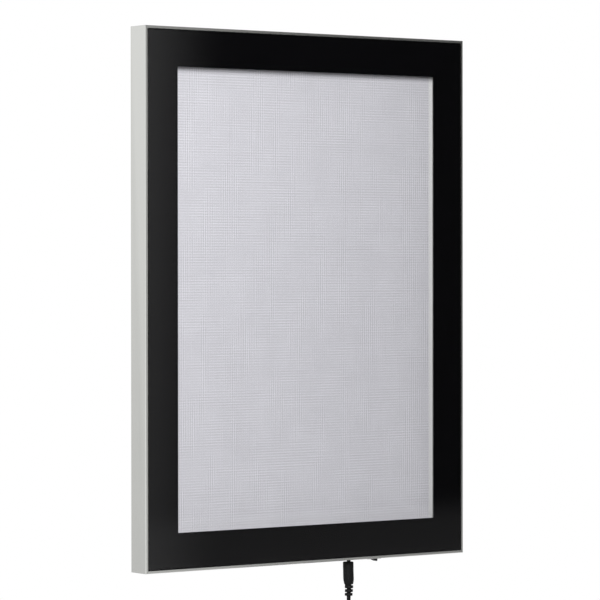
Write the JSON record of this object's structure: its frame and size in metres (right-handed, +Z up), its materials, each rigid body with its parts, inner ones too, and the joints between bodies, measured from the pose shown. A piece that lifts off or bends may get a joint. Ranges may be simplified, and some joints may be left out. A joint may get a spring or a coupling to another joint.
{
  "type": "poster light box",
  "caption": "Slim wall light box: silver frame, black bordered clear front that lifts off, lit panel, rocker switch and plug-in lead.",
  "frame": {"origin": "middle of the rear face, in the plane of the wall", "axes": "+Z up, +Y into the wall, so the front faces -Y, and +X to the right as seen from the front"},
  "size_m": [0.357, 0.0235, 0.6798],
  "materials": {
    "anodised_rail": "satin",
    "key_alloy": "matte",
    "zinc_steel": "satin",
    "black_mask": "satin",
    "clear_acrylic": "gloss",
    "light_guide_acrylic": "satin",
    "white_film": "matte",
    "foam_board": "matte",
    "back_sheet": "satin",
    "board_white": "satin",
    "chip_yellow": "satin",
    "black_moulding": "satin",
    "black_rubber": "matte",
    "plated_brass": "polished",
    "wire_red": "satin",
    "wire_black": "satin",
    "strap_fabric": "matte"
  },
  "bodies": {
    "frame": {"frame_top": "anodised_rail", "frame_bottom": "anodised_rail", "frame_left": "anodised_rail", "frame_right": "anodised_rail", "corner_keys": "key_alloy", "corner_screws": "zinc_steel", "magnets": "zinc_steel", "light_guide": "light_guide_acrylic", "reflector": "white_film", "backing_board": "foam_board", "back_panel": "back_sheet", "back_screws": "zinc_steel", "led_board_left": "board_white", "led_board_right": "board_white", "led_chips_left": "chip_yellow", "led_chips_right": "chip_yellow", "jack_body": "black_moulding", "jack_nut": "plated_brass", "jack_contacts": "plated_brass", "switch_housing": "black_moulding", "switch_terminals": "plated_brass", "wire_link": "wire_red", "wire_left": "wire_black", "wire_right": "wire_black"},
    "cover": {"cover_pane": "clear_acrylic", "cover_mask": "black_mask"},
    "rocker": {"rocker": "black_moulding"},
    "power_lead": {"plug_barrel": "plated_brass", "plug_body": "black_rubber", "lead_upper": "black_rubber", "lead_coil": "black_rubber", "lead_tie": "strap_fabric", "lead_tail": "black_rubber", "adapter_grommet": "black_rubber", "adapter_case": "black_moulding", "adapter_cap": "black_moulding", "adapter_pins": "plated_brass"}
  },
  "joints": [
    {"name": "cover_lift", "type": "slide", "parent": "frame", "child": "cover", "axis": [0, -1, 0], "range_m": [0, 0.06]},
    {"name": "rocker_tilt", "type": "hinge", "parent": "frame", "child": "rocker", "pos_m": [0.08, -0.0105, -0.2385], "axis": [0, -1, 0], "range_deg": [0, 24]},
    {"name": "plug_pull", "type": "slide", "parent": "frame", "child": "power_lead", "axis": [0, 0, -1], "range_m": [0, 0.014]}
  ]
}
